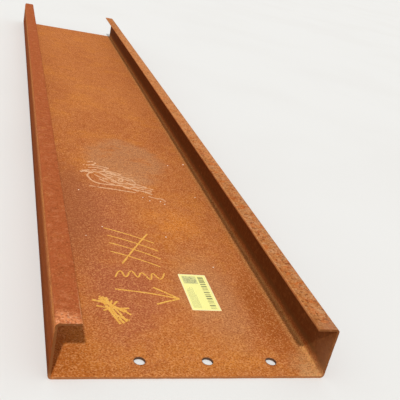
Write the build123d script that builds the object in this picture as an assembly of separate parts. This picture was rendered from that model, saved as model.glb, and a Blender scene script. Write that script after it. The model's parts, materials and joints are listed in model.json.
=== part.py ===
from build123d import *
import os

# A length of heavy lipped steel channel: one steel plate folded into a wide, low trough with
# two flanges and two lips turned inwards, and a row of bolt holes across the web near one end.
# Millimetres. X runs across the channel, Y along it, Z up. The origin is on the underside of
# the web at the middle of the channel, and the drilled end is at -Y.

# Rolled plate and its fold lines
channel_length = 3048.0
channel_width = 508.0
flange_height = 111.0
lip_width = 43.0
plate_thickness = 4.76
inner_bend_radius = 3.0
cut_edge_break = 0.5

# Row of bolt holes across the web
hole_count = 3
hole_diameter = 20.6
hole_pitch = 127.0
hole_row_from_end = 41.3
hole_row_off_centre = 33.5

# Stuck-on paper label
label_width = 64.0
label_length = 138.0
label_thickness = 0.3
label_corner_radius = 2.0
label_off_centre = 78.0
label_from_end = 270.0

# Values that follow from those above
outer_bend_radius = inner_bend_radius + plate_thickness
drilled_end = -channel_length / 2
trough_width = channel_width - 2 * plate_thickness
trough_height = flange_height - 2 * plate_thickness
mouth_width = channel_width - 2 * lip_width


def rounded_box_section(width, height, corner_radius, bottom):
    """A closed upright outline with four rounded corners, its lower side at the height bottom."""
    middle = bottom + height / 2
    return Plane.XZ * Pos(0, middle) * RectangleRounded(width, height, corner_radius)


def channel_section():
    """The folded plate seen end on: web below, flanges at the sides, lips above."""
    outside = rounded_box_section(channel_width, flange_height, outer_bend_radius, 0)
    trough = rounded_box_section(trough_width, trough_height, inner_bend_radius, plate_thickness)
    mouth_bottom = flange_height / 2
    mouth_height = flange_height - mouth_bottom
    mouth = Plane.XZ * Pos(0, mouth_bottom + mouth_height / 2) * Rectangle(mouth_width, mouth_height)
    return outside - trough - mouth


def hole_centres():
    """Where each bolt hole stands, from the left of the row to the right."""
    first = hole_row_off_centre - hole_pitch * (hole_count - 1) / 2
    row = drilled_end + hole_row_from_end
    return [(first + hole_pitch * step, row) for step in range(hole_count)]


def make_channel():
    """The folded plate with its cut edges eased and its bolt holes drilled through the web."""
    body = extrude(channel_section(), amount=channel_length / 2, both=True)
    cut_ends = [body.faces().sort_by(Axis.Y)[0], body.faces().sort_by(Axis.Y)[-1]]
    body = chamfer([edge for end in cut_ends for edge in end.edges()], cut_edge_break)
    for across, along in hole_centres():
        bit = Cylinder(hole_diameter / 2, 4 * plate_thickness)
        body -= Pos(across, along, plate_thickness / 2) * bit
    return body


def make_label():
    """The thin label, flat on the floor of the trough."""
    outline = RectangleRounded(label_width, label_length, label_corner_radius)
    place = Pos(label_off_centre, drilled_end + label_from_end, plate_thickness)
    return place * extrude(outline, amount=label_thickness)


def write(node, shape):
    """Writes one node as its own file and prints how large it came out."""
    export_step(shape, f"parts/{node}.step")
    size = shape.bounding_box().size
    print(f"{node}: {size.X:.2f} x {size.Y:.2f} x {size.Z:.2f} mm, {shape.volume / 1000:.1f} cm3")


os.makedirs("parts", exist_ok=True)
write("channel", make_channel())
write("stock_label", make_label())
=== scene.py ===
"""Looks of a length of rusted, lipped steel channel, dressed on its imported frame.

Blender's unit is the metre. Sizes that belong to the real object are written in millimetres
and turned into metres where they are used. X runs across the channel, Y along it, Z up.
"""

import json
import logging
import math
import random
from collections.abc import Callable, Iterator
from contextlib import contextmanager
from dataclasses import dataclass
from enum import Enum
from functools import cached_property

import bmesh
import bpy
from mathutils import Matrix, Vector

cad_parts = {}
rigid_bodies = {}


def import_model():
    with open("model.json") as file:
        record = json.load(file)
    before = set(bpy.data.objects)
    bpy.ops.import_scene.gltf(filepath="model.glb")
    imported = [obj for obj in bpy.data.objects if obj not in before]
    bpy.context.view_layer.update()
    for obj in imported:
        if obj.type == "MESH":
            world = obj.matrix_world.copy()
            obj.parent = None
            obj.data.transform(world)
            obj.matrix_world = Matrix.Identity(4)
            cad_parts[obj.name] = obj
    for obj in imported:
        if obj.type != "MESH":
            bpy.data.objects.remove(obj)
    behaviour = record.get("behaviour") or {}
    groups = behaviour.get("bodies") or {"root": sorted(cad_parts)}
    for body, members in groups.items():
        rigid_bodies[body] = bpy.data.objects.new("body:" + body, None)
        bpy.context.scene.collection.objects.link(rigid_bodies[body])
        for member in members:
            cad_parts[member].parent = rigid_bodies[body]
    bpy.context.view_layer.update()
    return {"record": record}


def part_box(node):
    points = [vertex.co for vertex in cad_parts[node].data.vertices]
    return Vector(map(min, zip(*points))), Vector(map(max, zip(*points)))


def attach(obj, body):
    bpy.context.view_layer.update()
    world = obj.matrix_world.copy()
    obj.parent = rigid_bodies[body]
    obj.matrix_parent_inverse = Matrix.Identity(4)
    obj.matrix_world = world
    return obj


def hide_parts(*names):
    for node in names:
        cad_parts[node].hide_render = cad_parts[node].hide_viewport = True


MM = 0.001
LOG = logging.getLogger("channel")

# A reach in millimetres that is longer than anything here
ENDLESS = 1e6

# The values between which nearly all of a noise pattern lies
NOISE_LOW = 0.3
NOISE_HIGH = 0.7

# A colour mix's own sockets, which come after those for numbers and vectors
MIX_SHARE, MIX_BELOW, MIX_ABOVE, MIX_RESULT = 0, 6, 7, 2

# The way that a drifted pattern moves, which is along no axis
DRIFT_WAY = (1.0, 0.7, 0.3)

Piece = bpy.types.Object
Socket = bpy.types.NodeSocket
Feed = Socket | float | tuple[float, ...]
Spot = tuple[float, float]
Span = tuple[float, float, float]


def linear(colour: str) -> tuple[float, float, float, float]:
    """Turns a written colour into the linear one that a shader socket takes.

    Args:
        colour: An sRGB colour as six hex digits after a hash mark.

    Returns:
        Red, green, blue and an alpha of 1.
    """
    knee, slope, lift, power = 0.04045, 12.92, 0.055, 2.4
    shares = [int(colour[start : start + 2], 16) / 255 for start in (1, 3, 5)]
    straight = [s / slope if s <= knee else ((s + lift) / (1 + lift)) ** power for s in shares]
    return (*straight, 1.0)


class Bench:
    """The node tree of a material or of the world, while it is being laid out."""

    def __init__(self, owner: bpy.types.Material | bpy.types.World) -> None:
        """Starts with an empty tree.

        Args:
            owner: What the tree belongs to.
        """
        owner.use_nodes = True
        self.tree = owner.node_tree
        self.tree.nodes.clear()

    @cached_property
    def place(self) -> Socket:
        """The place on the object, in metres, which every pattern follows."""
        return self.add("ShaderNodeTexCoord", {}, "Object")

    def add(
        self, kind: str, feeds: dict[str | int, Feed], output: str | int = 0, **settings: object
    ) -> Socket | None:
        """Adds one node with its settings and links.

        Args:
            kind: Blender's name for the node.
            feeds: What each input gets: a socket to link from, or a plain value.
            output: Which of the node's outputs is wanted.
            **settings: The node's own settings.

        Returns:
            That output. A node that ends the tree has none.
        """
        node = self.tree.nodes.new(kind)
        for name, value in settings.items():
            setattr(node, name, value)
        for name, value in feeds.items():
            if isinstance(value, Socket):
                self.tree.links.new(value, node.inputs[name])
            else:
                node.inputs[name].default_value = value
        return node.outputs[output] if node.outputs else None


class Zone:
    """A part of the surface, as a mask from 0 to 1."""

    def mask(self, bench: Bench) -> Socket:
        """Builds the mask in a bench's tree and returns it."""
        raise NotImplementedError


@dataclass(frozen=True)
class Around(Zone):
    """The surface near a point, inside an ellipsoid with a soft, uneven rim.

    Attributes:
        centre: The ellipsoid's middle, in millimetres.
        reach: Half its size along each axis, in millimetres.
        soft: Share of the reach over which the mask fades.
        ragged: How far noise pushes the rim in and out, as a share of the reach.
        ragged_mm: Size of the rim's lobes.
    """

    centre: Span
    reach: Span
    soft: float = 0.5
    ragged: float = 0.0
    ragged_mm: float = 20.0

    def mask(self, bench: Bench) -> Socket:
        """Builds the mask.

        Args:
            bench: The tree to build in.

        Returns:
            The mask, 1 inside the ellipsoid and 0 outside.
        """
        centre = tuple(part * MM for part in self.centre)
        reach = tuple(part * MM for part in self.reach)
        local = bench.add(
            "ShaderNodeMapping",
            {"Vector": bench.place, "Location": centre, "Scale": reach},
            vector_type="TEXTURE",
        )
        distance = bench.add("ShaderNodeVectorMath", {0: local}, "Value", operation="LENGTH")
        if self.ragged:
            lobes = bench.add(
                "ShaderNodeTexNoise",
                {"Vector": bench.place, "Scale": 1 / (self.ragged_mm * MM), "Detail": 4.0, "Roughness": 0.6},
            )
            pushed = bench.add("ShaderNodeMath", {0: lobes, 1: -0.5}, operation="ADD")
            distance = bench.add(
                "ShaderNodeMath", {0: pushed, 1: 2 * self.ragged, 2: distance}, operation="MULTIPLY_ADD"
            )
        return bench.add(
            "ShaderNodeMapRange",
            {"Value": distance, "From Min": 1.0, "From Max": 1.0 - self.soft},
            interpolation_type="SMOOTHSTEP",
        )


@dataclass(frozen=True)
class Facing(Zone):
    """The faces that look along one axis, either way.

    Attributes:
        axis: 0, 1 or 2 for X, Y or Z.
    """

    axis: int

    def mask(self, bench: Bench) -> Socket:
        """Builds the mask.

        Args:
            bench: The tree to build in.

        Returns:
            The mask, 1 on the faces that look that way.
        """
        normal = bench.add("ShaderNodeNewGeometry", {}, "True Normal")
        part = bench.add("ShaderNodeSeparateXYZ", {0: normal}, self.axis)
        size = bench.add("ShaderNodeMath", {0: part}, operation="ABSOLUTE")
        return bench.add("ShaderNodeMapRange", {"Value": size, "From Min": 0.7, "From Max": 0.8})


def only_in(zones: tuple[Zone, ...], amount: Feed, bench: Bench) -> Feed:
    """Keeps an amount to where the masks of all its zones are.

    Args:
        zones: The zones. None means everywhere.
        amount: The amount before.
        bench: The tree to build in.

    Returns:
        The amount times each mask.
    """
    for zone in zones:
        amount = bench.add("ShaderNodeMath", {0: amount, 1: zone.mask(bench)}, operation="MULTIPLY")
    return amount


@dataclass(frozen=True)
class Stain:
    """One layer of a finish: a colour laid in specks, blotches or clouds over what is below.

    Attributes:
        colour: Its sRGB colour.
        size_mm: Size of its specks or clouds.
        start: Noise value where the layer begins.
        full: Noise value where it is whole.
        strength: How much it covers where it is whole.
        detail: Octaves of finer noise in it.
        stretch: How much longer it is along each axis.
        drift: Moves the pattern, so that two layers of one size differ.
        zones: Where it is laid. None means everywhere.
    """

    colour: str
    size_mm: float
    start: float
    full: float
    strength: float
    detail: float = 4.0
    stretch: Span = (1.0, 1.0, 1.0)
    drift: float = 0.0
    zones: tuple[Zone, ...] = ()

    def over(self, bench: Bench, below: Feed) -> Socket:
        """Lays the colour over what is below it.

        Args:
            bench: The tree to build in.
            below: The colour so far.

        Returns:
            The colour with this layer on it.
        """
        shift = tuple(self.drift * part for part in DRIFT_WAY)
        squeeze = tuple(1 / part for part in self.stretch)
        moved = bench.add("ShaderNodeMapping", {"Vector": bench.place, "Location": shift, "Scale": squeeze})
        cloud = bench.add(
            "ShaderNodeTexNoise",
            {"Vector": moved, "Scale": 1 / (self.size_mm * MM), "Detail": self.detail, "Roughness": 0.55},
        )
        cover = bench.add(
            "ShaderNodeMapRange",
            {"Value": cloud, "From Min": self.start, "From Max": self.full, "To Max": self.strength},
            interpolation_type="SMOOTHSTEP",
        )
        share = only_in(self.zones, cover, bench)
        feeds = {MIX_SHARE: share, MIX_BELOW: below, MIX_ABOVE: linear(self.colour)}
        return bench.add("ShaderNodeMix", feeds, MIX_RESULT, data_type="RGBA")


@dataclass(frozen=True)
class Relief:
    """One layer of real unevenness, which the bump adds up.

    Attributes:
        size_mm: Distance from one hump to the next.
        height_mm: How high the humps stand.
        detail: Octaves of finer noise in it.
        zones: Where it is. None means everywhere.
    """

    size_mm: float
    height_mm: float
    detail: float = 2.0
    zones: tuple[Zone, ...] = ()

    def raise_on(self, bench: Bench, below: Feed) -> Socket:
        """Adds this layer's height to what is below it.

        Args:
            bench: The tree to build in.
            below: The height so far, in millimetres.

        Returns:
            The sum of the two.
        """
        feeds = {"Vector": bench.place, "Scale": 1 / (self.size_mm * MM), "Detail": self.detail}
        cloud = bench.add("ShaderNodeTexNoise", {**feeds, "Roughness": 0.6})
        height = only_in(self.zones, self.height_mm, bench)
        return bench.add("ShaderNodeMath", {0: cloud, 1: height, 2: below}, operation="MULTIPLY_ADD")


@dataclass(frozen=True)
class Finish:
    """A matt layered surface: a ground colour, stains over it, and relief under the light.

    Attributes:
        name: The material's name.
        ground: The sRGB colour under every stain.
        stains: Layers from the lowest up.
        reliefs: Layers of unevenness.
        smoothest: Lowest roughness.
        roughest: Highest roughness.
        sheen: How much the surface reflects beside its colour. Plain plastic or paint has 0.5.
        gleam_mm: Size of the patches that differ in roughness.
    """

    name: str
    ground: str
    stains: tuple[Stain, ...]
    reliefs: tuple[Relief, ...]
    smoothest: float
    roughest: float
    sheen: float = 0.5
    gleam_mm: float = 12.0

    def build(self) -> bpy.types.Material:
        """Builds the material.

        Returns:
            The material.
        """
        material = bpy.data.materials.new(self.name)
        bench = Bench(material)
        height: Feed = 0.0
        for relief in self.reliefs:
            height = relief.raise_on(bench, height)
        bumped = bench.add("ShaderNodeBump", {"Height": height, "Distance": MM, "Strength": 1.0})
        patches = bench.add(
            "ShaderNodeTexNoise", {"Vector": bench.place, "Scale": 1 / (self.gleam_mm * MM), "Detail": 3.0}
        )
        noise = {"Value": patches, "From Min": NOISE_LOW, "From Max": NOISE_HIGH}
        spread = {"To Min": self.smoothest, "To Max": self.roughest}
        roughness = bench.add("ShaderNodeMapRange", {**noise, **spread})
        colour: Feed = linear(self.ground)
        for stain in self.stains:
            colour = stain.over(bench, colour)
        surface = {
            "Base Color": colour,
            "Roughness": roughness,
            "Normal": bumped,
            "Metallic": 0.0,
            "Specular IOR Level": self.sheen,
        }
        shader = bench.add("ShaderNodeBsdfPrincipled", surface)
        bench.add("ShaderNodeOutputMaterial", {"Surface": shader})
        return material


class Pick(Enum):
    """What is selected in edit mode, under Blender's names for it."""

    POINTS = "VERT"
    EDGES = "EDGE"
    FACES = "FACE"


def take(*pieces: Piece) -> None:
    """Selects some pieces and nothing else, so that the next operator acts on them alone.

    Args:
        *pieces: The pieces, at least one. The first becomes the active one.
    """
    bpy.ops.object.select_all(action="DESELECT")
    for piece in pieces:
        piece.select_set(True)
    bpy.context.view_layer.objects.active = pieces[0]


def begin(name: str, add: Callable[..., set[str]], **settings: object) -> Piece:
    """Adds the primitive that a piece is shaped from.

    Args:
        name: The piece's name.
        add: Blender's operator for the primitive.
        **settings: The operator's own settings.

    Returns:
        The piece.
    """
    bpy.ops.object.select_all(action="DESELECT")
    add(**settings)
    piece = bpy.context.object
    piece.name = name
    return piece


@contextmanager
def editing(piece: Piece, pick: Pick = Pick.POINTS, whole: bool = False) -> Iterator[None]:
    """Opens a piece in edit mode, and closes it afterwards.

    Args:
        piece: The piece to edit.
        pick: What is selected in it.
        whole: Whether all of it is selected at first, or nothing.

    Yields:
        Nothing, while the piece is open.
    """
    take(piece)
    bpy.ops.object.mode_set(mode="EDIT")
    bpy.ops.mesh.select_mode(type=pick.value)
    bpy.ops.mesh.select_all(action="SELECT" if whole else "DESELECT")
    yield
    bpy.ops.object.mode_set(mode="OBJECT")


def select(piece: Piece, pick: Pick, wanted: Callable[..., bool]) -> None:
    """Selects points or edges of the piece in edit mode by their place.

    Args:
        piece: The piece in edit mode.
        pick: Points or edges.
        wanted: Says of a point, or of an edge's two ends, whether it is wanted.
    """
    bpy.ops.mesh.select_all(action="DESELECT")
    mesh = bmesh.from_edit_mesh(piece.data)
    if pick is Pick.POINTS:
        chosen = [point for point in mesh.verts if wanted(point.co)]
    else:
        chosen = [edge for edge in mesh.edges if wanted(*(end.co for end in edge.verts))]
    for part in chosen:
        part.select_set(True)
    bmesh.update_edit_mesh(piece.data)


def apply(piece: Piece, kind: str, **settings: object) -> None:
    """Puts a modifier on a piece and applies it.

    Args:
        piece: The piece it changes.
        kind: Blender's name for the modifier.
        **settings: The modifier's own settings.
    """
    take(piece)
    modifier = piece.modifiers.new(kind.lower(), kind)
    for name, value in settings.items():
        setattr(modifier, name, value)
    bpy.ops.object.modifier_apply(modifier=modifier.name)


def join(pieces: list[Piece], name: str) -> Piece:
    """Joins pieces into the first of them, at the origin.

    Args:
        pieces: The pieces, at least one.
        name: The joined piece's name.

    Returns:
        The joined piece.
    """
    take(*pieces)
    bpy.ops.object.transform_apply(location=True, rotation=True, scale=True)
    bpy.ops.object.join()
    pieces[0].name = name
    return pieces[0]


def hand_over(piece: Piece, material: bpy.types.Material, slot: str, *nodes: str) -> None:
    """Dresses a finished piece and gives it to the frame.

    Args:
        piece: The piece, with its place in its mesh.
        material: What it is covered with.
        slot: The record's material slot that it belongs to. Not used.
        *nodes: The CAD nodes that it stands for.
    """
    piece.data.materials.clear()
    piece.data.materials.append(material)
    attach(piece, "root")
    if nodes:
        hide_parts(*nodes)
    LOG.info("%s: %d faces", piece.name, len(piece.data.polygons))


@dataclass
class FoldedPlate:
    """The channel itself: one steel plate folded four times, with holes through its web.

    Attributes:
        low: The CAD box's lowest corner.
        high: The CAD box's highest corner.
        holes: The middle of each bolt hole, on the underside of the web.
        hole_radius: Radius of the bolt holes.
        thickness: The plate's thickness.
        lip: Width of each lip, over its bend.
        inner_bend: Inner radius of each fold.
        eased: How much the cut edges are rounded.
        nick: Deepest nick in a cut edge.
        bow: How far the rolled plate strays from flat.
        bow_size: Distance from one wave of it to the next.
        true_height: Height up to which the sides stay true.
        full_height: Height from which they stray in full.
    """

    low: Vector
    high: Vector
    holes: list[Vector]
    hole_radius: float
    thickness: float = 4.76 * MM
    lip: float = 43 * MM
    inner_bend: float = 3 * MM
    eased: float = 0.6 * MM
    nick: float = 0.5 * MM
    bow: float = 0.5 * MM
    bow_size: float = 350 * MM
    true_height: float = 10 * MM
    full_height: float = 40 * MM

    def middle_sheet(self) -> Piece:
        """Folds the plate's middle plane out of one flat sheet.

        Returns:
            The open sheet, with its folds rounded and its faces looking into the trough.
        """
        size = self.high - self.low
        wide = size.x - self.thickness
        tall = size.z - self.thickness
        reach = self.lip - self.thickness / 2
        sheet = begin("channel_plate", bpy.ops.mesh.primitive_plane_add, size=1)
        with editing(sheet, Pick.EDGES, whole=True):
            bpy.ops.transform.resize(value=(wide, size.y, 1))
            bpy.ops.transform.translate(value=(0, 0, self.thickness / 2))
            select(sheet, Pick.EDGES, lambda a, b: abs(a.x) > wide / 3 and abs(a.x - b.x) < MM)
            bpy.ops.mesh.extrude_region_move(TRANSFORM_OT_translate={"value": (0, 0, tall)})
            for side in (-1, 1):
                select(
                    sheet,
                    Pick.EDGES,
                    lambda a, b: min(a.z, b.z) > tall / 2 and min(a.x * side, b.x * side) > 0,
                )
                bpy.ops.mesh.extrude_region_move(TRANSFORM_OT_translate={"value": (-side * reach, 0, 0)})
            select(
                sheet,
                Pick.EDGES,
                lambda a, b: abs(a.y - b.y) > size.y / 2 and abs(abs(a.x) - wide / 2) < MM,
            )
            bend = self.inner_bend + self.thickness / 2
            bpy.ops.mesh.bevel(offset=bend, segments=8, affect="EDGES", clamp_overlap=False)
            bpy.ops.mesh.select_all(action="SELECT")
            bpy.ops.mesh.normals_make_consistent(inside=False)
        if min(sheet.data.polygons, key=lambda face: face.center.z).normal.z < 0:
            with editing(sheet, Pick.FACES, whole=True):
                bpy.ops.mesh.flip_normals()
        return sheet

    def divide(self, sheet: Piece) -> None:
        """Cuts the sheet into small faces, so that it can be bowed and nicked.

        Args:
            sheet: The folded sheet.
        """
        # The length is cut into 64 parts, and then each of them into 3
        lengths = (63, 2)
        # Widths between which the web, a flange and a lip lie, and how many cuts each gets
        strips = ((300 * MM, 600 * MM, 40), (60 * MM, 200 * MM, 8), (20 * MM, 45 * MM, 3))
        with editing(sheet, Pick.EDGES):
            for cuts in lengths:
                select(sheet, Pick.EDGES, lambda a, b: abs(a.y - b.y) > MM)
                bpy.ops.mesh.subdivide(number_cuts=cuts)
            for least, most, cuts in strips:
                select(sheet, Pick.EDGES, lambda a, b: abs(a.y - b.y) < MM and least < (a - b).length < most)
                bpy.ops.mesh.subdivide(number_cuts=cuts)

    def nick_edges(self, sheet: Piece) -> None:
        """Knocks the cut edges in a little at uneven places, as handling does.

        Args:
            sheet: The divided sheet.
        """
        chance = random.Random(11)
        tip = self.high.x - self.lip
        above = self.high.z / 2
        edges = (
            (lambda point: point.y < self.low.y + MM, Vector((0, 1, 0))),
            (lambda point: point.y > self.high.y - MM, Vector((0, -1, 0))),
            (lambda point: abs(point.x + tip) < MM and point.z > above, Vector((-1, 0, 0))),
            (lambda point: abs(point.x - tip) < MM and point.z > above, Vector((1, 0, 0))),
        )
        knocks = (0.25, 0.35, 0.6, 1.0)
        moved = 0.3
        with editing(sheet):
            for on_edge, inward in edges:
                for share in knocks:
                    select(sheet, Pick.POINTS, lambda point: on_edge(point) and chance.random() < moved)
                    bpy.ops.transform.translate(value=inward * self.nick * share / 2)

    def bow_sides(self, sheet: Piece) -> None:
        """Lets the flanges and lips stray a little from flat. The web stays true.

        Args:
            sheet: The divided sheet.
        """
        sides = sheet.vertex_groups.new(name="sides")
        for vertex in sheet.data.vertices:
            share = (vertex.co.z - self.true_height) / (self.full_height - self.true_height)
            sides.add([vertex.index], min(1.0, max(0.0, share)), "REPLACE")
        waves = bpy.data.textures.new("plate_bow", "CLOUDS")
        waves.noise_scale = self.bow_size
        where = {"texture": waves, "texture_coords": "LOCAL", "vertex_group": sides.name}
        apply(sheet, "DISPLACE", strength=self.bow, mid_level=0.0, **where)

    def drill(self, body: Piece) -> None:
        """Takes the bolt holes out of the web.

        Args:
            body: The plate with its thickness.
        """
        for middle in self.holes:
            size = {"vertices": 64, "radius": self.hole_radius, "depth": 6 * self.thickness}
            bit = begin("bit", bpy.ops.mesh.primitive_cylinder_add, location=middle, **size)
            apply(body, "BOOLEAN", object=bit, operation="DIFFERENCE", solver="EXACT")
            bpy.data.objects.remove(bit)

    def build(self) -> Piece:
        """Makes the whole channel.

        Returns:
            The finished piece.
        """
        plate = self.middle_sheet()
        self.divide(plate)
        self.nick_edges(plate)
        self.bow_sides(plate)
        apply(plate, "SOLIDIFY", thickness=self.thickness, offset=0.0, use_even_offset=True)
        self.drill(plate)
        # Edges sharper than the first angle are eased, and those flatter than the second look smooth
        cut, smooth = math.radians(50), math.radians(35)
        apply(plate, "BEVEL", width=self.eased, segments=2, limit_method="ANGLE", angle_limit=cut)
        take(plate)
        bpy.ops.object.shade_smooth_by_angle(angle=smooth)
        return plate


@dataclass(frozen=True)
class RustedPlateWithPaintedLight:
    """The plate's surface: hot-rolled steel that has rusted in the open, with light and shade painted into
    its colour.

    Hot rolling leaves a dark scale that weather lifts, and the steel under it rusts into a matt
    orange-brown crust. It gives the eye a soft cloudy orange with dark and light specks, drawn
    3 to 4 mm wide here because real grains are too fine to show. Dust gathers along the bends,
    and the crust is coarser and pitted where water stands on the lips.

    Attributes:
        side: Half the channel's width, in millimetres, as all that follow.
        top: Height of the lips' upper side.
        near: Where the drilled end stands along Y.
        tip: Distance of the lips' tips from the middle.
        holes: Where the bolt holes are, across and along.
        hole_radius: Radius of the bolt holes.
    """

    side: float
    top: float
    near: float
    tip: float
    holes: tuple[Spot, ...]
    hole_radius: float

    @property
    def front(self) -> Around:
        """The stretch of the web next to the drilled end."""
        return Around((-20, self.near, 0), (420, 190, 60), soft=0.8, ragged=0.3, ragged_mm=60)

    @property
    def far_left(self) -> Around:
        """The left side of the web, farther on."""
        return Around((-165, self.near + 650, 0), (95, 370, 40), soft=0.6, ragged=0.35, ragged_mm=60)

    @property
    def on_top(self) -> Around:
        """The upper sides of both lips."""
        return Around((0, 0, self.top), (ENDLESS, ENDLESS, 6), soft=0.3)

    def clouds(self) -> tuple[Stain, ...]:
        """Large uneven tones of the crust, and the patches where it differs.

        Returns:
            Layers from the lowest up.
        """
        near = self.near
        end_strip = Around((0, near, 0), (ENDLESS, 42, 20), soft=0.8, ragged=0.2, ragged_mm=30)
        round_marks = Around((-90, near + 400, 0), (130, 480, 40), soft=0.7, ragged=0.35, ragged_mm=90)
        round_label = Around((100, near + 260, 0), (100, 260, 40), soft=0.7, ragged=0.35, ragged_mm=50)
        by_bend = Around((205, near + 210, 0), (52, 200, 30), soft=0.6, ragged=0.2, ragged_mm=40)
        left_corner = Around((-215, near + 30, 0), (75, 95, 30), soft=0.7, ragged=0.3, ragged_mm=30)
        glow = Around((85, near + 590, 0), (115, 120, 40), soft=0.8, ragged=0.4, ragged_mm=40)
        before_rub = Around((-75, near + 735, 0), (95, 140, 40), soft=0.7, ragged=0.3, ragged_mm=40)
        return (
            Stain("#b05f30", 260, 0.42, 0.62, 0.6, stretch=(1, 2.2, 1)),
            Stain("#ce7d34", 120, 0.48, 0.66, 0.6, drift=3.1),
            Stain("#a85a2e", 34, 0.48, 0.66, 0.45, detail=5, drift=7.7),
            Stain("#d68a40", 22, 0.5, 0.7, 0.4, detail=5, drift=12.7),
            Stain("#ab5d42", 300, 0.25, 0.45, 0.75, detail=3, drift=1.3, zones=(round_marks,)),
            Stain("#9c5536", 250, 0.25, 0.45, 0.75, detail=3, drift=4.3, zones=(self.far_left,)),
            Stain("#be8256", 200, 0.25, 0.45, 0.7, drift=8.3, zones=(round_label,)),
            Stain("#a5571f", 200, 0.25, 0.45, 0.6, detail=3, drift=2.6, zones=(by_bend,)),
            Stain("#e08832", 60, 0.3, 0.6, 0.6, zones=(glow,)),
            Stain("#a65c3e", 60, 0.25, 0.5, 0.55, drift=7.4, zones=(before_rub,)),
            Stain("#cb7b30", 30, 0.3, 0.6, 0.45, drift=4.4, zones=(self.front,)),
            Stain("#a65c2c", 40, 0.2, 0.5, 0.5, drift=5.4, zones=(end_strip,)),
            Stain("#b0601e", 40, 0.2, 0.5, 0.6, drift=6.4, zones=(left_corner,)),
        )

    def wear(self) -> tuple[Stain, ...]:
        """The patch in the middle of the web where something was dragged and rubbed.

        Returns:
            Layers from the lowest up.
        """
        near = self.near
        rubbed = Around((30, near + 1000, 0), (142, 225, 40), soft=0.35, ragged=0.3, ragged_mm=70)
        dragged = Around((40, near + 1020, 0), (150, 170, 40), soft=0.5, ragged=0.3, ragged_mm=60)
        scraped = Around((4, near + 858, 0), (92, 84, 40), soft=0.6, ragged=0.4, ragged_mm=30)
        return (
            Stain("#b98057", 45, 0.2, 0.5, 0.85, detail=5, drift=2.9, zones=(rubbed,)),
            Stain("#8a5a3c", 14, 0.54, 0.64, 0.4, detail=5, stretch=(6, 1, 1), drift=5.5, zones=(dragged,)),
            Stain("#d69f70", 6, 0.45, 0.58, 0.75, stretch=(2, 1, 1), drift=3.9, zones=(scraped,)),
        )

    def dust(self) -> tuple[Stain, ...]:
        """The dust along the right bend, widest at the drilled end, with painted bounce light on the bend's
        shaded foot.

        Returns:
            Layers from the lowest up.
        """
        side, near = self.side, self.near
        bend = Around((side - 8, 0, 3), (24, ENDLESS, 13), soft=0.6, ragged=0.15, ragged_mm=30)
        foot = Around((side - 8, 0, 6), (7.5, ENDLESS, 9), soft=0.6, ragged=0.1, ragged_mm=30)
        bend_end = Around((side - 20, near + 12, 6), (50, 74, 26), soft=0.7, ragged=0.35, ragged_mm=16)
        return (
            Stain("#bb7e45", 18, 0.2, 0.45, 0.85, detail=5, drift=6.3, zones=(bend,)),
            # Dust at the bend's foot, lightened further as painted bounce light in the shade under the lip
            Stain("#d39c5b", 14, 0.25, 0.5, 0.8, detail=5, drift=16.3, zones=(foot,)),
            Stain("#ca9762", 16, 0.28, 0.52, 0.8, detail=5, drift=9.3, zones=(bend_end,)),
        )

    def grain(self) -> tuple[Stain, ...]:
        """The dark and light specks of the crust, drawn larger where they are seen from far off.

        Returns:
            Layers from the lowest up.
        """
        farther = Around((0, self.near + 1900, 0), (ENDLESS, 1650, ENDLESS), soft=0.2)
        return (
            Stain("#9a4d1f", 7, 0.5, 0.64, 0.4, drift=15.5, zones=(farther,)),
            Stain("#e9a062", 6.5, 0.53, 0.67, 0.35, drift=19.1, zones=(farther,)),
            Stain("#843804", 3.6, 0.5, 0.62, 0.55, detail=3, drift=0.5),
            Stain("#eca468", 3.4, 0.5, 0.62, 0.5, detail=3, drift=9.1),
            Stain("#76360a", 3, 0.54, 0.66, 0.4, detail=3, drift=2.2, zones=(self.front,)),
            Stain("#eca25a", 3, 0.55, 0.66, 0.35, detail=3, drift=5.2, zones=(self.front,)),
            Stain("#ab653e", 60, 0.25, 0.5, 0.35, drift=6.1, zones=(self.far_left,)),
        )

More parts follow.
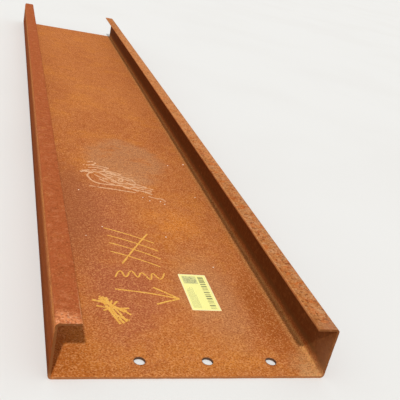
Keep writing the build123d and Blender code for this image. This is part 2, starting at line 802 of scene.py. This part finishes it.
    def flanges(self) -> tuple[Stain, ...]:
        """The flanges: painted shade on the inner faces by the lips, on the outer faces and at the left
        foot, and painted bounce light and sunlight on the right inner face.

        Returns:
            Layers from the lowest up.
        """
        side, near, top = self.side, self.near, self.top
        inner = Around((side - 1, 0, top * 0.6), (9, ENDLESS, top * 0.52), 0.2, ragged=0.08, ragged_mm=25)
        inner_low_bounce_light = Around((side - 3, 0, top * 0.2), (9, ENDLESS, top * 0.14), 0.7, ragged=0.2, ragged_mm=25)
        inner_end_sunlight = Around((side, near, top * 0.4), (12, 80, 62), soft=0.6, ragged=0.2)
        left_inner_shade = Around((-side + 5, near, top * 0.6), (5, 240, top * 0.5), soft=0.4)
        outer = [Around((way * side, 0, top * 0.3), (4, ENDLESS, top * 0.62)) for way in (-1, 1)]
        foot = Around((-side, 0, top * 0.06), (4, ENDLESS, top * 0.3), soft=0.6)
        return (
            # Painted shade on the right flange's inner face, under its lip, with mottles over it
            Stain("#683c1c", 18, 0.1, 0.4, 0.9, drift=6.9, zones=(inner,)),
            Stain("#8f5a2e", 8, 0.5, 0.66, 0.5, drift=16.9, zones=(inner,)),
            # Painted bounce light low on the right flange's inner face
            Stain("#76552f", 20, 0.2, 0.5, 0.5, drift=10.9, zones=(inner_low_bounce_light,)),
            # Painted sunlight on the right flange's inner face by the drilled end
            Stain("#8f6040", 20, 0.2, 0.5, 0.6, drift=13.9, zones=(inner_end_sunlight,)),
            # Painted shade on the left flange's inner face by the drilled end
            Stain("#78401f", 30, 0.2, 0.5, 0.7, drift=20.9, zones=(left_inner_shade,)),
            # Painted shade on both flanges' outer faces, with dark and light mottles over it
            *(Stain("#843a0c", 40, 0.15, 0.4, 0.9, drift=3.6, zones=(face,)) for face in outer),
            *(Stain("#6a2c0c", 5, 0.52, 0.66, 0.45, drift=23.6, zones=(face,)) for face in outer),
            *(Stain("#a65626", 7, 0.52, 0.66, 0.45, drift=33.6, zones=(face,)) for face in outer),
            # Painted shade at the foot of the left flange's outer face
            Stain("#5e3014", 30, 0.15, 0.4, 0.6, drift=8.6, zones=(foot,)),
        )

    def lips(self) -> tuple[Stain, ...]:
        """The coarse, pitted crust on the lips, painted highlights along their tips, and painted shade by
        the right tip at the drilled end.

        Returns:
            Layers from the lowest up.
        """
        side, near, top, tip = self.side, self.near, self.top, self.tip
        right = Around((side, 0, top), (60, ENDLESS, 6), soft=0.2)
        left_end = Around((-side, near, top), (70, 44, 7), soft=0.6, ragged=0.3, ragged_mm=18)
        right_end = Around((side, near, top), (60, 46, 7), soft=0.7, ragged=0.3, ragged_mm=18)
        outer_rim = Around((side + 2, 0, top), (24, ENDLESS, 8), soft=0.6, ragged=0.3, ragged_mm=25)
        inner_rim = Around((tip + 5, 0, top), (10, ENDLESS, 8), soft=0.6, ragged=0.3, ragged_mm=25)
        farther = Around((side, near + 1700, top), (60, 1150, 8), soft=0.2, ragged=0.1, ragged_mm=90)
        right_tip_highlight = Around((tip, 0, top), (3, ENDLESS, 7), ragged=0.2, ragged_mm=12)
        tip_end_shade = Around((tip + 2, near, top), (11, 80, 8), soft=0.7, ragged=0.3, ragged_mm=12)
        left_tip_highlight = Around((-tip, near, top), (2.2, 130, 7), soft=0.6, ragged=0.3, ragged_mm=12)
        return (
            Stain("#aa5630", 30, 0.15, 0.45, 0.9, drift=8.8, zones=(self.on_top,)),
            Stain("#8e4624", 13, 0.52, 0.68, 0.5, drift=44.8, zones=(self.on_top,)),
            Stain("#c87a50", 15, 0.52, 0.68, 0.45, drift=54.8, zones=(self.on_top,)),
            Stain("#bb7a44", 24, 0.25, 0.5, 0.85, detail=5, drift=18.8, zones=(right,)),
            Stain("#cc9468", 11, 0.5, 0.64, 0.55, drift=28.8, zones=(right,)),
            Stain("#d09c70", 24, 0.5, 0.62, 0.5, drift=104.8, zones=(right,)),
            Stain("#bf5c1c", 16, 0.49, 0.62, 0.65, detail=5, drift=38.8, zones=(right,)),
            Stain("#b88c68", 16, 0.4, 0.6, 0.6, drift=64.8, zones=(outer_rim,)),
            Stain("#a8642c", 16, 0.4, 0.6, 0.5, drift=94.8, zones=(inner_rim,)),
            Stain("#da9058", 30, 0.3, 0.55, 0.55, drift=97.8, zones=(farther,)),
            Stain("#743a16", 6.5, 0.52, 0.63, 0.72, drift=74.8, zones=(right,)),
            Stain("#e2a46c", 4.5, 0.53, 0.64, 0.5, drift=84.8, zones=(right,)),
            Stain("#e08c5a", 13, 0.34, 0.5, 0.9, drift=4.8, zones=(left_end,)),
            Stain("#f0b48c", 5, 0.54, 0.64, 0.6, drift=24.8, zones=(left_end,)),
            Stain("#a07052", 20, 0.2, 0.5, 0.65, drift=14.8, zones=(right_end,)),
            Stain("#7a3c14", 4.2, 0.52, 0.66, 0.5, drift=1.9, zones=(self.on_top,)),
            Stain("#6c3414", 5, 0.56, 0.66, 0.45, drift=11.9, zones=(left_end,)),
            Stain("#e0955e", 3.6, 0.55, 0.68, 0.35, drift=7.2, zones=(self.on_top,)),
            # Painted highlight along the right lip's tip, where light catches the edge
            Stain("#d6945a", 40, 0.3, 0.6, 0.65, zones=(right_tip_highlight,)),
            # Painted shade by the right lip's tip at the drilled end
            Stain("#8e5428", 24, 0.2, 0.5, 0.6, drift=34.1, zones=(tip_end_shade,)),
            # Painted highlight along the left lip's tip by the drilled end
            Stain("#d8986a", 40, 0.3, 0.6, 0.75, drift=5.1, zones=(left_tip_highlight,)),
        )

    def cut_edges(self) -> tuple[Stain, ...]:
        """The sheared ends and the drilled holes, browner than the rolled faces, with painted shade in the
        holes.

        Returns:
            Layers from the lowest up.
        """
        cut = Facing(1)
        upright = Around((0, self.near, self.top), (ENDLESS, 4, self.top - 6), soft=0.1)
        wide, narrow = self.hole_radius + 5, self.hole_radius + 1.2
        rims = [Around((*hole, 3), (wide, wide, 30), 0.4, ragged=0.15, ragged_mm=5) for hole in self.holes]
        shaded_bores = [Around((*hole, 3), (narrow, narrow, 30), 0.12) for hole in self.holes]
        return (
            Stain("#94603c", 12, 0.2, 0.45, 0.85, detail=3, zones=(cut,)),
            Stain("#70401f", 10, 0.2, 0.45, 0.85, detail=3, drift=6.6, zones=(cut, upright)),
            *(Stain("#8a5334", 8, 0.3, 0.6, 0.6, detail=3, zones=(rim,)) for rim in rims),
            # Painted shade in the holes, on their bores and edges
            *(Stain("#4a3a31", 8, 0.1, 0.3, 0.9, detail=3, zones=(bore,)) for bore in shaded_bores),
        )

    def finish(self) -> Finish:
        """Puts the layers together.

        Returns:
            The whole finish.
        """
        layers = (
            self.clouds(),
            self.wear(),
            self.dust(),
            self.grain(),
            self.flanges(),
            self.lips(),
            self.cut_edges(),
        )
        return Finish(
            name="rusted_plate_with_painted_light",
            ground="#c1723b",
            stains=tuple(stain for layer in layers for stain in layer),
            reliefs=(
                Relief(1.8, 0.16, detail=3),
                Relief(7, 0.25, detail=3),
                Relief(4.5, 0.5, detail=3, zones=(self.on_top,)),
            ),
            sheen=0.02,
            smoothest=0.75,
            roughest=0.95,
        )


class Ink(Enum):
    """The label's four printed colours, in the order of printing, and what they thin out to."""

    FIELD = ("#fffa9c", "#f1e98e")
    TINT = ("#dad68e", "#c6c27c")
    GREY = ("#a5a575", "#8f8c60")
    DARK = ("#55553a", "#8f8c60")


@dataclass
class Label:
    """The paper label stuck on the web, with its plain printed pattern.

    The print is laid out in millimetres, from the label's left and near edges.

    Attributes:
        low: Lowest corner of the label's CAD node.
        high: Highest corner of the label's CAD node.
        corner: Radius of the paper's corners.
        film: Thickness of one layer of ink.
        border: Width of the bare border around the printed field.
        panel_corner: Radius of the printed panels' corners.
        tinted: The tinted panel's left, near, right and far sides.
        bars_from: The bars' left end.
        bars_to: The bars' right end.
        cell: Side of one cell of the printed block.
    """

    low: Vector
    high: Vector
    corner: float = 2 * MM
    film: float = 0.015 * MM
    border: float = 2.5
    panel_corner: float = 1.2
    tinted: tuple[float, float, float, float] = (6, 100, 39, 131)
    bars_from: float = 43.0
    bars_to: float = 56.0
    cell: float = 2.4

    def paper(self) -> Piece:
        """Makes the sheet of paper.

        Returns:
            The finished piece.
        """
        size = self.high - self.low
        middle = (self.high + self.low) / 2
        paper = begin("label_paper", bpy.ops.mesh.primitive_plane_add, size=1)
        with editing(paper, whole=True):
            bpy.ops.transform.resize(value=(size.x, size.y, 1))
            bpy.ops.mesh.bevel(offset=self.corner, segments=4, affect="VERTICES")
            bpy.ops.mesh.select_all(action="SELECT")
            bpy.ops.transform.translate(value=(middle.x, middle.y, self.high.z))
        apply(paper, "SOLIDIFY", thickness=size.z, offset=-1.0)
        return paper

    def paper_finish(self) -> Finish:
        """Coated cream label paper: flat and even to the eye, a little soiled by rust dust.

        Returns:
            Its finish.
        """
        return Finish(
            name="cream_label_paper",
            ground="#fdf3b6",
            stains=(
                Stain("#efe3a0", 22, 0.5, 0.75, 0.6, detail=3),
                Stain("#d0b070", 2.2, 0.64, 0.74, 0.4, detail=2),
            ),
            reliefs=(Relief(9, 0.05),),
            smoothest=0.45,
            roughest=0.6,
        )

    def patch(self, left: float, near: float, right: float, far: float) -> Piece:
        """Prints one filled rectangle.

        Args:
            left: Its left side.
            near: Its near side.
            right: Its right side.
            far: Its far side.

        Returns:
            The patch of ink.
        """
        middle = Vector(((left + right) / 2, (near + far) / 2, 0)) * MM
        corner = Vector((self.low.x, self.low.y, self.high.z))
        mark = begin("ink", bpy.ops.mesh.primitive_plane_add, size=1, location=corner + middle)
        mark.scale = ((right - left) * MM, (far - near) * MM, 1)
        return mark

    def bars(self) -> list[Piece]:
        """Prints a row of bars up the right side.

        Returns:
            The bars.
        """
        chance = random.Random(3)
        near, end = 7.0, 130
        widths = (1.2, 1.2, 2.0, 3.0)
        gaps = (1.8, 3.0, 4.4)
        bars = []
        while near < end:
            width = chance.choice(widths)
            bars.append(self.patch(self.bars_from, near, self.bars_to, near + width))
            near += width + chance.choice(gaps)
        return bars

    def fine_marks(self) -> list[Piece]:
        """Prints the rules and the block of cells on the left side.

        Returns:
            The rules and the cells.
        """
        chance = random.Random(5)
        marks = []
        rules, pitch, width = 7, 2.6, 0.7
        shortest, longest = 50, 80
        for rule in range(rules):
            left, near = 6.5 + pitch * rule, 8
            marks.append(self.patch(left, near, left + width, near + chance.uniform(shortest, longest)))
        columns, rows = 12, 11
        inked, side = 0.45, self.cell * 0.92
        for column in range(columns):
            for row in range(rows):
                if chance.random() < inked:
                    left, near = 8 + self.cell * column, 102 + self.cell * row
                    marks.append(self.patch(left, near, left + side, near + side))
        return marks

    def printed(self, ink: Ink) -> Piece:
        """Makes all the print of one ink.

        Args:
            ink: Which ink.

        Returns:
            One joined piece.
        """
        size = (self.high - self.low) / MM
        if ink is Ink.FIELD:
            marks = [self.patch(self.border, self.border, size.x - self.border, size.y - self.border)]
        elif ink is Ink.TINT:
            marks = [self.patch(*self.tinted)]
        else:
            marks = self.bars() if ink is Ink.DARK else self.fine_marks()
        printed = join(marks, f"label_print_{ink.name.lower()}")
        if ink in (Ink.FIELD, Ink.TINT):
            with editing(printed, whole=True):
                bpy.ops.mesh.bevel(offset=self.panel_corner * MM, segments=3, affect="VERTICES")
        layer = list(Ink).index(ink) + 1
        apply(printed, "SOLIDIFY", thickness=layer * self.film, offset=1.0)
        return printed

    def ink_finish(self, ink: Ink) -> Finish:
        """Printer's ink on paper: flat to the eye, slightly uneven in density.

        Args:
            ink: Which ink.

        Returns:
            Its finish.
        """
        full, thin = ink.value
        return Finish(
            name=f"label_ink_{ink.name.lower()}",
            ground=full,
            stains=(Stain(thin, 1.5, 0.5, 0.75, 0.5, detail=2),),
            reliefs=(Relief(3, 0.02),),
            smoothest=0.5,
            roughest=0.6,
        )


@dataclass(frozen=True)
class Stroke:
    """One pull of a paint stick or a piece of chalk.

    Attributes:
        points: Its route on the web, in millimetres across from the middle and along from the
            drilled end.
        width_mm: How wide it is.
    """

    points: tuple[Spot, ...]
    width_mm: float


def wavy(start: Spot, end: Spot, swing: float, turns: int, unsteady: float = 3.0) -> tuple[Spot, ...]:
    """Lays out the route of a wavy line drawn by an unsteady hand.

    Args:
        start: Where it starts, in millimetres across and along from the drilled end.
        end: Where it ends.
        swing: How far it swings along the channel.
        turns: How many times it turns back.
        unsteady: How far each turn may miss its place.

    Returns:
        The points of the route.
    """
    points = []
    for turn in range(turns + 1):
        share = turn / turns
        # The two waves of the unsteady hand are out of step, so that no two turns are alike
        miss = (unsteady * math.sin(2.4 * turn), unsteady * math.cos(1.7 * turn))
        across = start[0] + (end[0] - start[0]) * share + miss[0]
        along = start[1] + (end[1] - start[1]) * share + swing * (turn % 2) + miss[1]
        points.append((across, along))
    return tuple(points)


# Four lines and one across them, a wavy line, an arrow and a scribble
PAINT_STROKES = (
    Stroke(((-96, 537), (-38, 514), (19, 475)), 3.6),
    Stroke(((-91, 500), (-34, 478), (22, 437)), 3.6),
    Stroke(((-92, 464), (-38, 444), (20, 402)), 3.6),
    Stroke(((-94, 424), (-40, 402), (12, 366)), 3.6),
    Stroke(((10, 520), (-32, 452), (-74, 372)), 4.2),
    Stroke(wavy((-98, 312), (14, 296), 46, 9), 3.6),
    Stroke(((-106, 268), (-60, 262), (-10, 252), (26, 240)), 4.0),
    Stroke(((-22, 280), (2, 262), (27, 240)), 4.4),
    Stroke(((-26, 218), (2, 231), (27, 240)), 4.4),
    Stroke(((-158, 226), (-118, 214), (-86, 178)), 4.6),
    Stroke(((-141, 240), (-128, 196), (-112, 148)), 5.5),
    Stroke(((-151, 206), (-120, 196), (-87, 200)), 4.6),
    Stroke(((-136, 238), (-116, 205), (-98, 156)), 5.5),
    Stroke(((-128, 236), (-124, 190), (-104, 150)), 5.0),
    Stroke(((-144, 232), (-122, 212), (-98, 186)), 5.0),
    Stroke(((-107, 224), (-122, 200), (-139, 190)), 4.4),
    Stroke(((-146, 224), (-134, 222), (-108, 196), (-92, 192)), 4.4),
    Stroke(((-118, 226), (-126, 206), (-116, 172), (-92, 160)), 4.4),
)

# One long scribble of loops and hooks
CHALK_STROKES = (
    Stroke(((-22, 831), (-45, 850), (-59, 879), (-82, 891), (-97, 877), (-104, 856)), 4.6),
    Stroke(
        ((-104, 856), (-99, 828), (-87, 811), (-71, 804), (-43, 802), (-9, 804), (6, 792), (33, 774)), 5.2
    ),
    Stroke(((-109, 785), (-76, 777), (-43, 775), (-10, 768), (23, 764)), 5.0),
    Stroke(((-71, 839), (-49, 810), (-13, 804), (2, 792), (29, 803), (59, 804), (79, 795)), 5.0),
    Stroke(((-109, 933), (-88, 934), (-65, 955), (-79, 969), (-94, 957)), 5.4),
    Stroke(((-121, 878), (-102, 890), (-86, 875)), 9.0),
    Stroke(((-116, 888), (-98, 896), (-72, 902)), 7.0),
    Stroke(((57, 747), (75, 734), (94, 739), (101, 721)), 4.0),
    Stroke(((-71, 886), (-42, 903), (-23, 883), (-46, 861), (-62, 876)), 4.6),
    Stroke(((-17, 862), (3, 852), (-10, 826), (-21, 836), (0, 863)), 4.6),
    Stroke(((-96, 915), (-66, 925), (-40, 905), (-60, 893)), 4.8),
    Stroke(((-38, 842), (-20, 815), (8, 822), (30, 812)), 4.4),
    Stroke(((-60, 838), (-30, 862), (-14, 880), (-34, 893), (-58, 866)), 4.2),
    Stroke(((10, 842), (24, 850), (36, 828), (20, 816), (6, 830)), 4.2),
    Stroke(((30, 796), (52, 786), (74, 788), (66, 772), (40, 778)), 4.6),
    Stroke(((-82, 866), (-66, 846), (-44, 836), (-30, 820), (-8, 814)), 4.2),
    Stroke(((-30, 884), (-6, 872), (20, 858), (34, 842), (12, 846), (-14, 858)), 4.6),
    Stroke(((-50, 904), (-20, 896), (4, 880), (-24, 876), (-48, 890)), 4.6),
    Stroke(((-84, 936), (-52, 934), (-26, 918), (-52, 912)), 4.8),
    Stroke(((20, 822), (44, 818), (66, 802), (44, 800), (22, 808)), 4.6),
    Stroke(((-6, 790), (24, 786), (52, 772), (70, 760)), 4.4),
)


@dataclass
class DrawnMarks:
    """Marks drawn by hand on the web, as thin films of paint or chalk.

    Attributes:
        name: The finished piece's name.
        strokes: The strokes, in the order of drawing.
        low: The CAD box's lowest corner.
        floor: Height of the trough's floor.
        film: Thickness of the film.
        ragged: How far its sides stray, as a share of its width.
        skipped: Share of the film that missed the plate.
        rise: How much higher a stroke ends than it begins, so that it can cross itself.
        lift: How much higher each stroke lies than the one before, so that they can cross.
    """

    name: str
    strokes: tuple[Stroke, ...]
    low: Vector
    floor: float
    film: float = 0.15 * MM
    ragged: float = 0.2
    skipped: float = 0.05
    rise: float = 0.08 * MM
    lift: float = 0.01 * MM

    def route(self, stroke: Stroke) -> Piece:
        """Lays the curve that a stroke follows.

        Args:
            stroke: The stroke.

        Returns:
            The curve, flat at height 0.
        """
        line = bpy.data.curves.new("route", "CURVE")
        line.dimensions = "2D"
        line.resolution_u = 24
        route = line.splines.new("NURBS")
        route.points.add(len(stroke.points) - 1)
        for point, (across, along) in zip(route.points, stroke.points):
            point.co = (across * MM, self.low.y + along * MM, 0, 1)
        route.order_u = 3
        route.use_endpoint_u = True
        path = bpy.data.objects.new("route", line)
        bpy.context.scene.collection.objects.link(path)
        return path

    def skip(self, seed: int) -> None:
        """Takes bits out of the film in edit mode, where it missed the hollows of the rust.

        Args:
            seed: Which bits.
        """
        bpy.ops.mesh.select_mode(type=Pick.FACES.value)
        bpy.ops.mesh.select_all(action="DESELECT")
        bpy.ops.mesh.select_random(ratio=self.skipped, seed=seed)
        bpy.ops.mesh.delete(type=Pick.FACES.value)
        bpy.ops.mesh.select_mode(type=Pick.POINTS.value)
        corners = dict.fromkeys(("use_wire", "use_boundary", "use_multi_face", "use_non_contiguous"), False)
        # Faces that touch at a corner alone are parted, and eight rounds leave none
        for _ in range(8):
            bpy.ops.mesh.select_all(action="DESELECT")
            bpy.ops.mesh.select_non_manifold(**corners)
            bpy.ops.mesh.delete(type=Pick.POINTS.value)

    def ribbon(self, stroke: Stroke, level: int) -> Piece:
        """Draws one stroke as a thin film with uneven sides.

        Args:
            stroke: The stroke.
            level: Its place in the order of drawing.

        Returns:
            The film.
        """
        path = self.route(stroke)
        length = path.data.splines[0].calc_length()
        width = stroke.width_mm * MM
        face = 1.5 * MM
        grid = {"x_subdivisions": round(length / face), "y_subdivisions": 5}
        film = begin("stroke", bpy.ops.mesh.primitive_grid_add, size=1, **grid)
        with editing(film, whole=True):
            bpy.ops.transform.resize(value=(length, width, 1))
            bpy.ops.transform.translate(value=(length / 2, 0, 0))
            bpy.ops.mesh.select_non_manifold()
            bpy.ops.transform.vertex_random(offset=width * self.ragged, seed=level + 1)
            bpy.ops.mesh.select_all(action="SELECT")
            bpy.ops.transform.resize(value=(1, 1, 0), center_override=(0, 0, 0))
            bpy.ops.transform.rotate(value=self.rise / length, orient_axis="Y", center_override=(0, 0, 0))
            self.skip(seed=level + 7)
        apply(film, "CURVE", object=path, deform_axis="POS_X")
        bpy.data.objects.remove(path)
        with editing(film, whole=True):
            bpy.ops.transform.translate(value=(0, 0, self.floor + self.film + level * self.lift))
        apply(film, "SOLIDIFY", thickness=self.film, offset=-1.0)
        return film

    def build(self) -> Piece:
        """Draws every stroke and joins them into one piece."""
        films = [self.ribbon(stroke, level) for level, stroke in enumerate(self.strokes)]
        return join(films, self.name)


def paint_stick() -> Finish:
    """Solid paint stick: a waxy yellow film that skips over the hollows of the rust.

    Returns:
        Its finish.
    """
    return Finish(
        name="yellow_paint_stick",
        ground="#efb145",
        stains=(
            Stain("#fac75e", 9, 0.45, 0.7, 0.6, detail=2),
            Stain("#cf852e", 2.6, 0.52, 0.64, 0.65, detail=2),
            Stain("#b0642c", 1.6, 0.6, 0.7, 0.5, detail=1, drift=3.3),
        ),
        reliefs=(Relief(1.2, 0.12),),
        smoothest=0.5,
        roughest=0.7,
    )


def chalk() -> Finish:
    """Chalk on rust: a dry pale powder, thin enough to take some of the rust's colour.

    Returns:
        Its finish.
    """
    return Finish(
        name="rubbed_chalk",
        ground="#e8b284",
        stains=(
            Stain("#f4cea6", 6, 0.5, 0.7, 0.6, detail=2),
            Stain("#c08050", 3, 0.54, 0.68, 0.65, detail=2, drift=2.1),
        ),
        reliefs=(Relief(1.2, 0.1),),
        smoothest=0.8,
        roughest=0.95,
    )


@dataclass
class Grit:
    """Small stones and scale that lie loose on the web.

    Attributes:
        low: The CAD box's lowest corner.
        floor: Height of the trough's floor.
        places: Where the stones lie, in millimetres across and along from the drilled end, and
            how wide each is.
        shape: A stone's length, depth and height beside each other.
        rough: How far its corners stray, as a share of its width.
        sunk: Height of its middle over the trough's floor, as a share of its width.
    """

    low: Vector
    floor: float
    places: tuple[Span, ...] = (
        (-138, 748, 3.5),
        (-143, 491, 2.4),
        (56, 510, 3.4),
        (142, 376, 3.2),
        (-99, 541, 3.0),
        (38, 735, 3.2),
        (54, 716, 3.0),
        (85, 717, 3.4),
        (94, 702, 3.6),
        (167, 998, 3.6),
        (224, 1019, 5.0),
        (199, 767, 3.0),
    )
    shape: Span = (1.0, 0.75, 0.55)
    rough: float = 0.07
    sunk: float = 0.2

    def stone(self, place: Span, seed: int) -> Piece:
        """Makes one stone.

        Args:
            place: Across, along and width, in millimetres.
            seed: Which of the shapes it gets.

        Returns:
            The stone, sunk a little into the rust.
        """
        across, along, width = (part * MM for part in place)
        middle = (across, self.low.y + along, self.floor + self.sunk * width)
        stone = begin("stone", bpy.ops.mesh.primitive_ico_sphere_add, subdivisions=2, radius=0.6 * width)
        with editing(stone, whole=True):
            bpy.ops.transform.vertex_random(offset=self.rough * width, seed=seed)
            bpy.ops.transform.resize(value=self.shape)
            bpy.ops.transform.translate(value=middle)
        return stone

    def build(self) -> Piece:
        """Makes all the stones and joins them into one piece."""
        stones = [self.stone(place, seed) for seed, place in enumerate(self.places, start=1)]
        return join(stones, "loose_grit")

    def finish(self) -> Finish:
        """Crushed stone and pale scale: dry and matt to the eye.

        Returns:
            Its finish.
        """
        return Finish(
            name="pale_grit",
            ground="#f2d6b8",
            stains=(
                Stain("#fff2e0", 1.2, 0.4, 0.6, 0.7, detail=2),
                Stain("#c99a74", 2, 0.58, 0.72, 0.6, detail=2, drift=2.0),
            ),
            reliefs=(Relief(0.8, 0.1),),
            smoothest=0.75,
            roughest=0.9,
        )


@dataclass
class Studio:
    """The plain floor, the lamps and the camera.

    Attributes:
        near_end: Where the channel's drilled end stands along Y.
        floor_size: Side of the square floor.
        floor_gap: How far the floor lies below the web, so that the two don't flicker.
        behind: How far the camera stands before the drilled end.
        across: How far it stands to the right of the channel's middle.
        above: Its height.
        looks_right: Degrees that it looks to the right of the channel's line.
        looks_down: Degrees that it looks below level.
        roll: Degrees that it is turned about its own line of sight.
        lens: Focal length in millimetres on a 36 mm frame.
    """

    near_end: float
    floor_size: float = 120.0
    floor_gap: float = 0.02 * MM
    behind: float = 0.8212
    across: float = -0.3727
    above: float = 0.7087
    looks_right: float = 20.338
    looks_down: float = 22.735
    roll: float = 13.353
    lens: float = 56.81

    def floor(self) -> None:
        """Lays the plain floor, which is pale, matt and even to the eye."""
        middle = (0, 0, -self.floor_gap)
        ground = begin("floor", bpy.ops.mesh.primitive_plane_add, size=self.floor_size, location=middle)
        finish = Finish(
            name="pale_floor",
            ground="#e9e8e5",
            stains=(Stain("#e4e2de", 900, 0.4, 0.7, 0.35, detail=2),),
            reliefs=(Relief(6, 0.02),),
            smoothest=0.8,
            roughest=0.9,
        )
        ground.data.materials.append(finish.build())

    def key_light(self) -> None:
        """Hangs the broad key light."""
        sun = bpy.data.lights.new("key", "SUN")
        sun.energy = 2.45
        sun.angle = math.radians(2.5)
        travel = Vector((0.272, 0.87, -1.0))
        lamp = bpy.data.objects.new("key", sun)
        lamp.rotation_mode = "QUATERNION"
        lamp.rotation_quaternion = travel.to_track_quat("-Z", "Y")
        bpy.context.scene.collection.objects.link(lamp)

    def room_light(self) -> None:
        """Sets the even light of the room, which looks paler than it lights."""
        room = bpy.data.worlds.new("room")
        bench = Bench(room)
        seen = bench.add("ShaderNodeLightPath", {}, "Is Camera Ray")
        for kind in ("Is Glossy Ray", "Is Transmission Ray"):
            ray = bench.add("ShaderNodeLightPath", {}, kind)
            seen = bench.add("ShaderNodeMath", {0: seen, 1: ray}, operation="MAXIMUM")
        lights, looks = 0.53, 0.95
        strength = bench.add("ShaderNodeMapRange", {"Value": seen, "To Min": lights, "To Max": looks})
        light = bench.add("ShaderNodeBackground", {"Color": linear("#f7f7f6"), "Strength": strength})
        bench.add("ShaderNodeOutputWorld", {"Surface": light})
        bpy.context.scene.world = room

    def camera(self) -> None:
        """Puts the camera at the photograph's viewing angle."""
        eye = bpy.data.cameras.new("camera")
        eye.lens = self.lens
        eye.sensor_width = 36.0
        holder = bpy.data.objects.new("camera", eye)
        right = math.radians(self.looks_right)
        down = math.radians(self.looks_down)
        ahead = Vector((math.sin(right) * math.cos(down), math.cos(right) * math.cos(down), -math.sin(down)))
        level = ahead.to_track_quat("-Z", "Y").to_matrix()
        turned = level @ Matrix.Rotation(math.radians(self.roll), 3, "Z")
        holder.rotation_mode = "QUATERNION"
        holder.rotation_quaternion = turned.to_quaternion()
        holder.location = (self.across, self.near_end - self.behind, self.above)
        bpy.context.scene.collection.objects.link(holder)
        bpy.context.scene.camera = holder

    def build(self) -> None:
        """Sets the whole stage."""
        self.floor()
        self.key_light()
        self.room_light()
        self.camera()
        bpy.context.scene.view_settings.view_transform = "Standard"


def hole_row(record: dict) -> tuple[list[Vector], float]:
    """Reads the bolt holes from the record's mounts.

    Args:
        record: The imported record.

    Returns:
        The middle of each hole, and their radius.
    """
    mounts = {mount["name"]: mount for mount in record["mounts"]}
    middle = Vector(mounts["middle_bolt"]["pos_m"])
    step = Vector((mounts["outer_bolts"]["dims"]["spacing_x_mm"] / 2 * MM, 0, 0))
    radius = mounts["middle_bolt"]["dims"]["r_mm"] * MM
    return [middle - step, middle, middle + step], radius


def main() -> None:
    """Builds the dressed channel and its stage, piece by piece."""
    logging.basicConfig(level=logging.INFO, format="%(name)s %(message)s")
    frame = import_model()
    low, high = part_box("channel")
    holes, radius = hole_row(frame["record"])

    plate = FoldedPlate(low, high, holes, radius)
    rust = RustedPlateWithPaintedLight(
        side=high.x / MM,
        top=high.z / MM,
        near=low.y / MM,
        tip=(high.x - plate.lip) / MM,
        holes=tuple((middle.x / MM, middle.y / MM) for middle in holes),
        hole_radius=radius / MM,
    )
    hand_over(plate.build(), rust.finish().build(), "weathered_plate", "channel")

    label = Label(*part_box("stock_label"))
    hand_over(label.paper(), label.paper_finish().build(), "label_paper", "stock_label")
    for ink in Ink:
        hand_over(label.printed(ink), label.ink_finish(ink).build(), "label_paper")

    paint = DrawnMarks("paint_marks", PAINT_STROKES, low, plate.thickness)
    hand_over(paint.build(), paint_stick().build(), "weathered_plate")

    dry = {"film": 0.1 * MM, "ragged": 0.28, "skipped": 0.1}
    chalked = DrawnMarks("chalk_marks", CHALK_STROKES, low, plate.thickness, **dry)
    hand_over(chalked.build(), chalk().build(), "weathered_plate")

    grit = Grit(low, plate.thickness)
    hand_over(grit.build(), grit.finish().build(), "weathered_plate")

    Studio(near_end=low.y).build()


if __name__ == "__main__":
    main()
